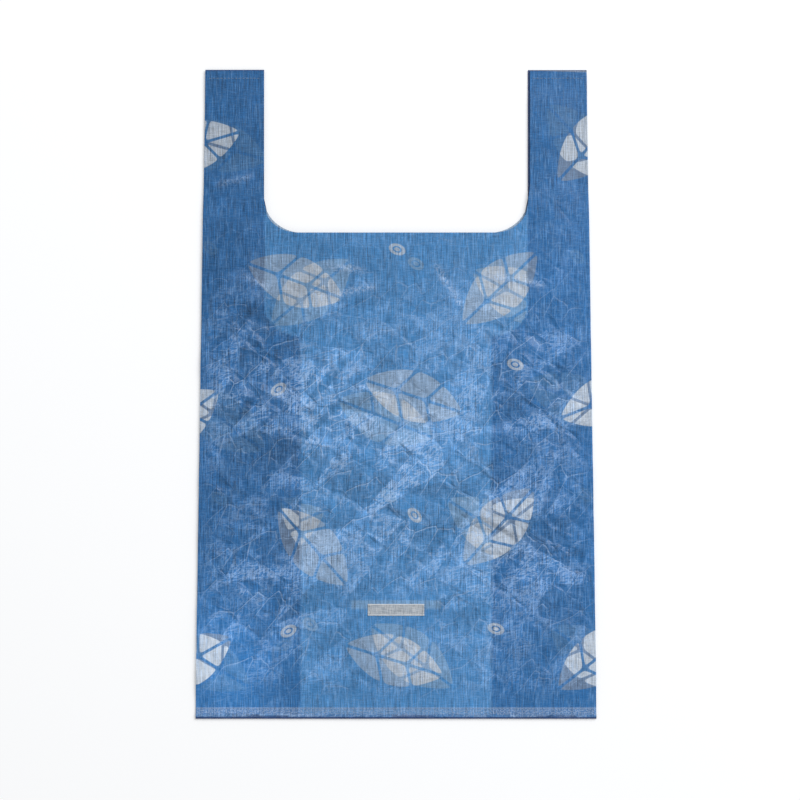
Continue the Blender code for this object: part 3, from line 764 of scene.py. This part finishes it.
# A strip of fabric behind the label shows through as a pale band.
STRIP_HALF_WIDTH = 0.034
STRIP_HALF_HEIGHT = 0.0032
STRIP_RISE = 0.0868
STRIP_BLUR = 0.001
strip_aside = STRIP_HALF_WIDTH - np.abs(flat_x)
strip_above = STRIP_HALF_HEIGHT - np.abs(front.y - BOTTOM - STRIP_RISE)
strip = smooth(strip_aside / STRIP_BLUR + 0.5) * smooth(strip_above / STRIP_BLUR + 0.5)
# Painted light: the film is painted lighter towards the right, where the light comes from, and
# darker towards the top; it is also brighter below the right handle and in the lower left corner.
brighter_lower_left = np.exp(-(((flat_x + 0.125) / 0.035) ** 2 + ((front.y + 0.205) / 0.055) ** 2))
brighter_right_shoulder = np.exp(-(((flat_x - 0.120) / 0.035) ** 2 + ((front.y - 0.075) / 0.045) ** 2))
lighter = 0.08 * flat_x / (BAG_WIDTH / 2) + 0.68 * brighter_lower_left + 0.20 * brighter_right_shoulder
lighter = lighter - 0.10 * smooth((front.y - MOUTH + 0.10) / 0.06)
front_values = {
    "stack": stack,
    "strip": strip,
    "ridge": sampled(ridge, flat_x, front.y),
    "facet_lighting": sampled(facet_lighting, flat_x, front.y),
    "lively": sampled(lively, flat_x, front.y) ** 0.75,
    "edge_shade": ends_shade(front.y),
    "seam": smooth((BOTTOM + BOTTOM_SEAM - front.y) / 0.0006 + 0.5),
    "lighter": lighter,
}
front_panel = make_sheet(
    "front_panel", front.x, front.y, front_z, front.faces, (flat_x, behind), front_values
)
front_panel.data.materials.append(make_fabric("printed_fabric_front", True))
belongs(front_panel, "bag_body")
MOUTH_CORNERS = 2 * (1 - math.pi / 4) * MOUTH_CORNER_WIDTH * MOUTH_CORNER_HEIGHT
PANEL_AREA = BAG_HEIGHT * (BAG_WIDTH + TOP_WIDTH) / 2
PANEL_AREA = PANEL_AREA - 2 * HANDLE_INNER * MOUTH_DEPTH + MOUTH_CORNERS

# The gussets
# Two leaves of the same fabric at each side, folded in between the panels. Their top is cut
# deeper than the mouth, from the inner fold up to the handle.


def make_gusset(name, side, material):
    """Both leaves of the gusset on one side, -1 for the left and 1 for the right."""
    leaf = stretched([BAG_WIDTH / 2, HANDLE_INNER, INNER_FOLD], LOWER_CELL)
    turns = np.linspace(0, 1, FOLD_STEPS + 2)[1:-1]
    across = side * np.concatenate([leaf, np.full(FOLD_STEPS, INNER_FOLD), leaf[::-1]])
    turn = np.concatenate([np.zeros(len(leaf)), turns, np.ones(len(leaf))])
    width = HANDLE_INNER - INNER_FOLD
    cut = Cut(across, turn, LOWER_CELL, GUSSET_CUT, INNER_FOLD, width, GUSSET_CORNER_HEIGHT)
    set_back(cut)
    upper = layer_height(FRONT_LEAF, cut.x, cut.y)
    lower = layer_height(BACK_LEAF, cut.x, cut.y)
    radius = (upper - lower) / 2
    bulge = radius * np.sin(np.pi * cut.turn)
    z = (upper + lower) / 2 + radius * np.cos(np.pi * cut.turn)
    flat_x = cut.x.copy()
    cut.x = cut.x - side * bulge
    over = 2 * side_edge(cut.y) - np.abs(flat_x)
    under = TUBE / 2 - over
    round_tube = side * np.where(cut.turn < 0.5, over, BAG_WIDTH / 2 + GUSSET_DEPTH
                                 + np.abs(flat_x) - INNER_FOLD)
    values = {"stack": 1.0, "lively": 0.5, "edge_shade": ends_shade(cut.y)}
    faces = cut.faces[:, ::-1] if side > 0 else cut.faces
    gusset = make_sheet(name, cut.x, cut.y, z, faces, (round_tube, under), values)
    gusset.data.materials.append(material)
    belongs(gusset, "bag_body")
    cut_away = (TOP - GUSSET_CUT) * width - (1 - math.pi / 4) * width * GUSSET_CORNER_HEIGHT
    2 * (GUSSET_DEPTH * BAG_HEIGHT - cut_away) - BAG_HEIGHT * (BAG_WIDTH - TOP_WIDTH) / 2


plain_fabric = make_fabric("printed_fabric_lower", False)
make_gusset("left_gusset", -1, plain_fabric)
make_gusset("right_gusset", 1, plain_fabric)

# The back panel
# The other side of the tube, lying flat on the floor. Its cut edge at the mouth's corners
# is a little wider than the front panel's, so it shows there as a thin paler rim.

BACK_CORNER_EXTRA = 0.0040
across, turn = panel_columns(LOWER_CELL)
BACK_CORNER_WIDTH = MOUTH_CORNER_WIDTH + BACK_CORNER_EXTRA
BACK_CORNER_HEIGHT = MOUTH_CORNER_HEIGHT + BACK_CORNER_EXTRA
back_corner = (MOUTH, HANDLE_INNER - BACK_CORNER_WIDTH, BACK_CORNER_WIDTH, BACK_CORNER_HEIGHT)
back = Cut(across, turn, LOWER_CELL, *back_corner)
back_z = layer_height(BACK, back.x, back.y)
back_leaf_z = layer_height(BACK_LEAF, back.x, back.y)
back_flat_x = back.x.copy()
back_z = folded(back, back_z, back_leaf_z - back_z)
inside_edge = np.where(
    back.y > MOUTH + MOUTH_CORNER_HEIGHT, np.abs(back_flat_x) - HANDLE_INNER, 1.0
)
# It is a single layer past the front's mouth and beside the set-back right handle.
front_mouth = MOUTH + corner_rise(back_flat_x, mouth_corner[1], *mouth_corner[2:])
beyond_front = (np.abs(back_flat_x) < HANDLE_INNER) & (back.y > front_mouth - 0.0005)
on_right = (back_flat_x > 0) & ((inside_edge < HANDLE_SET_BACK + 0.0012) | (TOP - back.y < 0.003))
on_right &= back.y > MOUTH + MOUTH_CORNER_HEIGHT
# The painted edge shade also runs along the handles' inner cut edges.
back_values = {
    "lively": 0.5,
    "single": 1.0 * (beyond_front | on_right),
    "edge_shade": np.maximum(ends_shade(back.y), smooth(2.6 - inside_edge / EDGE_SHADE_WIDTH)),
}
back_tubes = (TUBE / 2 - back_flat_x, back_flat_x)
back_panel = make_sheet(
    "back_panel", back.x, back.y, back_z, back.faces[:, ::-1], back_tubes, back_values
)
back_panel.data.materials.append(plain_fabric)
belongs(back_panel, "bag_body")

# The bottom hem
# The back panel's edge is rolled round the bottom to the front and sewn through all layers
# with one row of small stitches, which holds the tube shut.

HEM_FRONT = 0.0032  # how far the rolled edge comes up the front
HEM_SLANT = 0.0006  # how much less it comes up at the right than in the middle
HEM_BACK = BOTTOM_SEAM
HEM_STEPS = 8
HEM_FLOOR_GAP = 0.00005
columns = stretched([-BAG_WIDTH / 2 - 0.0002, BAG_WIDTH / 2 + 0.0002], FRONT_CELL)
waver = 0.00022 * np.sin(columns * 190) + 0.00016 * np.sin(columns * 431 + 1)
hem_up = HEM_FRONT - HEM_SLANT * columns / BAG_WIDTH * 2 + waver
over = layer_height(FRONT, columns, np.full_like(columns, BOTTOM + HEM_FRONT / 2)) + 0.00022
under = HEM_FLOOR_GAP
radius = (over - under) / 2
front_run = [(share, 0.0) for share in np.linspace(1, 0, 5)]
turns = [(0.0, turn) for turn in np.linspace(0, 1, HEM_STEPS)[1:]]
hem_rows = []
for share, turn in front_run + turns:
    swing = math.pi * turn
    y = BOTTOM + share * hem_up - radius * 0.35 * math.sin(swing)
    lifted = 0.00018 * share * (1 + np.sin(columns * 260 + 2)) / 2
    hem_rows.append((columns, y, (over + under) / 2 + radius * math.cos(swing) + lifted))
for share in np.linspace(0, 1, 5)[1:]:
    hem_rows.append((columns, BOTTOM + share * HEM_BACK, np.full_like(columns, under)))
hem_x, hem_y, hem_z = (
    np.stack([np.broadcast_to(row[axis], columns.shape) for row in hem_rows]) for axis in range(3)
)
rolled = np.linspace(0, HEM_FRONT + HEM_BACK, len(hem_rows))[:, None]
# Painted shade along the hem's rolled lower edge, and darker patches here and there along its
# front
hem_dark_marks = FULL_EDGE_SHADE * smooth((BOTTOM + 0.0016 - hem_y) / 0.0008)
navy = smooth(3 * (np.sin(hem_x * 53 + 0.9) + 0.5 * np.sin(hem_x * 121) - 0.35))
hem_dark_marks = np.maximum(hem_dark_marks, 0.55 * navy * (hem_y < BOTTOM + 0.8 * HEM_FRONT))
hem_tone = 0.25 + 0.5 * (np.sin(hem_x * 61 + 1) + np.sin(hem_x * 147) > 0.3)
hem_values = {"stack": 1.0, "facet_lighting": 1.0, "seam": hem_tone, "lively": 1.0, "edge_shade": hem_dark_marks}
bottom_hem = make_sheet(
    "bottom_hem",
    hem_x,
    hem_y,
    hem_z,
    grid_faces(hem_x.shape)[:, ::-1],
    (TUBE / 2 - hem_x, TUBE / 4),
    hem_values,
    printed_y=BOTTOM - 0.012 + rolled,
)
bottom_hem.data.materials.append(plain_fabric)
belongs(bottom_hem, "bag_body")

# The sewing
# One row of short stitches in pale thread holds the bottom hem, and one row shuts the top
# of each handle.

STITCH_LENGTH = 0.0021
STITCH_PITCH = 0.0028
THREAD_RADIUS = 0.00016
STITCH_SIDES = 5
STITCH_RINGS = 6


def add_stitches(name, ends, direction, material):
    """Stitches from points in ends, each a short bowed thread lying on the fabric."""
    corners = []
    for x, y in ends:
        run = np.linspace(-0.5, 0.5, STITCH_RINGS)
        px, py = x + direction[0] * STITCH_LENGTH * run, y + direction[1] * STITCH_LENGTH * run
        base = layer_height(FRONT, px, py) + 0.0002
        bow = np.cos(np.pi * run)
        turn = np.linspace(0, 2 * math.pi, STITCH_SIDES, endpoint=False)[None, :]
        thick = THREAD_RADIUS * (0.45 + 0.55 * bow)[:, None]
        side = np.cos(turn) * thick
        rings = np.stack([
            px[:, None] - direction[1] * side,
            py[:, None] + direction[0] * side,
            (base + 0.00012 * bow)[:, None] + np.sin(turn) * thick,
        ], -1)
        corners.append(rings)
    points = np.concatenate([rings.reshape(-1, 3) for rings in corners])
    ring = STITCH_SIDES
    faces = []
    for start in range(0, len(points), STITCH_RINGS * ring):
        for row in range(STITCH_RINGS - 1):
            for i in range(ring):
                low, high = start + row * ring, start + (row + 1) * ring
                faces.append((low + i, low + (i + 1) % ring, high + (i + 1) % ring, high + i))
        faces.append(tuple(range(start, start + ring))[::-1])
        faces.append(tuple(range(start + (STITCH_RINGS - 1) * ring, start + STITCH_RINGS * ring)))
    mesh = bpy.data.meshes.new(name)
    mesh.from_pydata(points.tolist(), [], faces)
    mesh.shade_smooth()
    mesh.materials.append(material)
    stitches = bpy.data.objects.new(name, mesh)
    bpy.context.scene.collection.objects.link(stitches)
    return stitches


thread, thread_shader, tone = new_material("pale_thread")
place = tone.node("ShaderNodeTexCoord", None, None, "Object")
ply = tone.noise(place, (0.0003, 0.0005, 0.0005), 2.0)
feed(tone, thread_shader, Roughness=0.6)
feed(tone, thread_shader, Base_Color=tone.mix(ply, (0.17, 0.31, 0.53), (0.42, 0.55, 0.74)))

hem_stitch_x = np.arange(-BAG_WIDTH / 2 + 0.002, BAG_WIDTH / 2 - 0.001, STITCH_PITCH)
hem_ends = [(x, BOTTOM + BOTTOM_SEAM - 0.0004) for x in hem_stitch_x]
hem_stitches = add_stitches("hem_stitches", hem_ends, (1, 0), thread)
belongs(hem_stitches, "bag_body")

handle_stitch_x = np.arange(HANDLE_INNER + 0.0045, TOP_WIDTH / 2 - 0.001, STITCH_PITCH)
handle_ends = [(side * x, TOP - TOP_SEAM) for side in (-1, 1) for x in handle_stitch_x]
handle_stitches = add_stitches("handle_stitches", handle_ends, (1, 0), thread)
belongs(handle_stitches, "bag_body")

# The label
# A short piece of undyed woven ribbon, its edges pressed under, sewn flat to the front
# panel near the bottom with a few stitches at each end.

LABEL_CELL = 0.0005
LABEL_TUCK = 0.00075  # turned under along the long edges
LABEL_END_TUCK = 0.003
LABEL_WALL = 0.00035
LABEL_LIFT = 0.00045  # ribbon's face above the front panel


def turned_under(low, high, tuck):
    """Places across a ribbon whose two edges are pressed under, and how far down each is."""
    across = stretched([low + 0.0001, high - 0.0001], LABEL_CELL)
    places = [low + tuck, low + 0.0001, low, *across, high, high - 0.0001, high - tuck]
    down = [1.0, 1.0, 0.5, *np.zeros(len(across)), 0.5, 1.0, 1.0]
    return np.array(places), np.array(down)


columns, end_down = turned_under(label_low.x, label_high.x, LABEL_END_TUCK)
rows, edge_down = turned_under(label_low.y, label_high.y, LABEL_TUCK)
ribbon_x, ribbon_y = np.meshgrid(columns, rows)
down = np.maximum(end_down[None, :], edge_down[:, None]) * LABEL_WALL
ribbon_z = layer_height(FRONT, ribbon_x, ribbon_y) + LABEL_LIFT - down
ribbon_mesh = bpy.data.meshes.new("label_ribbon")
ribbon_points = np.stack([ribbon_x, ribbon_y, ribbon_z], -1).reshape(-1, 3)
ribbon_mesh.from_pydata(ribbon_points.tolist(), [], grid_faces(ribbon_x.shape).tolist())
ribbon_mesh.shade_smooth()
label_ribbon = bpy.data.objects.new("label_ribbon", ribbon_mesh)
bpy.context.scene.collection.objects.link(label_ribbon)
ribbon_material, ribbon_shader, tone = new_material("undyed_ribbon")
place = tone.node("ShaderNodeTexCoord", None, None, "Object")
weft = tone.noise(place, (0.0006, 0.006, 1.0), 2.0)
warp = tone.noise(place, (0.006, 0.0006, 1.0), 2.0)
across_ribbon = abs(place.part(1) - LABEL_MIDDLE)
selvedge = across_ribbon.step(LABEL_HALF - 0.0013, LABEL_HALF - 0.0008)
wear = tone.noise(place, (0.006, 0.004, 1.0), 3.0, 0.6)
ribbon_colour = tone.mix((weft + warp).step(0.6, 1.4), (0.24, 0.27, 0.31), (0.66, 0.69, 0.72))
ribbon_colour = tone.mix(wear.step(0.35, 0.7) * 0.5, ribbon_colour, (0.34, 0.41, 0.49))
ribbon_colour = tone.mix(selvedge * 0.6, ribbon_colour, (0.72, 0.75, 0.78))
ribbon_bump = tone.node(
    "ShaderNodeBump", None, {"Distance": 0.0002, "Height": weft + warp + selvedge}
)
feed(tone, ribbon_shader, Base_Color=ribbon_colour, Roughness=0.85, Normal=ribbon_bump)
ribbon_mesh.materials.append(ribbon_material)
belongs(label_ribbon, "label")

LABEL_STITCHES = 3  # at each end
LABEL_STITCH_PITCH = 0.0029
LABEL_STITCH_INSET = 0.0014
ribbon_thread, ribbon_thread_shader, tone = new_material("ribbon_thread")
place = tone.node("ShaderNodeTexCoord", None, None, "Object")
ply = tone.noise(place, (0.0004, 0.0003, 0.0004), 2.0)
ribbon_thread_colour = tone.mix(ply, (0.30, 0.33, 0.36), (0.62, 0.63, 0.60))
feed(tone, ribbon_thread_shader, Base_Color=ribbon_thread_colour, Roughness=0.7)
label_ends = [
    (side * (label_high.x - LABEL_STITCH_INSET), LABEL_MIDDLE + (i - 1) * LABEL_STITCH_PITCH)
    for side in (-1, 1)
    for i in range(LABEL_STITCHES)
]
label_stitches = add_stitches("label_stitches", label_ends, (0, 1), ribbon_thread)
for point in label_stitches.data.vertices:
    point.co.z += 0.0004  # onto the ribbon
belongs(label_stitches, "label")

# Floor, light and camera
# A white floor seen straight from above, a large soft light from the upper right, and an
# even white surround.

FLOOR_SIZE = 24.0
floor_mesh = bpy.data.meshes.new("floor")
half = FLOOR_SIZE / 2
floor_mesh.from_pydata(
    [(-half, -half, 0), (half, -half, 0), (half, half, 0), (-half, half, 0)], [], [(0, 1, 2, 3)]
)
floor = bpy.data.objects.new("floor", floor_mesh)
bpy.context.scene.collection.objects.link(floor)
floor_material, floor_shader, tone = new_material("white_floor")
light_path = tone.tree.nodes.new("ShaderNodeLightPath")
seen = Tone(tone.tree, light_path.outputs["Is Camera Ray"])
for ray in ("Is Glossy Ray", "Is Transmission Ray"):
    seen = seen.most(Tone(tone.tree, light_path.outputs[ray]))
feed(tone, floor_shader, Base_Color=(0.86, 0.865, 0.875, 1.0), Roughness=0.9)
feed(tone, floor_shader, Emission_Color=tone.mix(seen, (0, 0, 0), (0.235, 0.235, 0.235)))
floor_shader.inputs["Emission Strength"].default_value = 1.0
floor_shader.inputs["Specular IOR Level"].default_value = 0.0
floor_mesh.materials.append(floor_material)

world = bpy.data.worlds.new("surround")
bpy.context.scene.world = world
world.use_nodes = True
surround = world.node_tree.nodes["Background"]
surround.inputs["Color"].default_value = (0.98, 0.99, 1.0, 1.0)
surround.inputs["Strength"].default_value = 0.44


def add_softbox(name, place, aim, size, power):
    data = bpy.data.lights.new(name, "AREA")
    data.shape = "RECTANGLE"
    data.size, data.size_y = size
    data.energy = power
    box = bpy.data.objects.new(name, data)
    box.location = place
    box.rotation_euler = (Vector(aim) - Vector(place)).to_track_quat("-Z", "Y").to_euler()
    bpy.context.scene.collection.objects.link(box)


add_softbox("window_light", (2.04, 2.20, 3.00), (0, 0, 0), (2.9, 2.9), 136.0)

PHOTO_SIDE = 800  # pixels
PHOTO_MIDDLE = (400, 400)
BAG_MIDDLE = (396.0, 394.2)  # the bag's middle in the photo
PIXEL = BAG_WIDTH / 400.8  # the bag's bottom edge is this many pixels wide
camera_data = bpy.data.cameras.new("camera")
camera_data.lens = 85.0
camera_data.sensor_width = 36.0
camera = bpy.data.objects.new("camera", camera_data)
camera_height = PHOTO_SIDE * PIXEL * camera_data.lens / camera_data.sensor_width
camera.location = (
    (PHOTO_MIDDLE[0] - BAG_MIDDLE[0]) * PIXEL,
    (BAG_MIDDLE[1] - PHOTO_MIDDLE[1]) * PIXEL,
    camera_height + 0.003,
)
bpy.context.scene.collection.objects.link(camera)
bpy.context.scene.camera = camera
bpy.context.scene.view_settings.view_transform = "Standard"
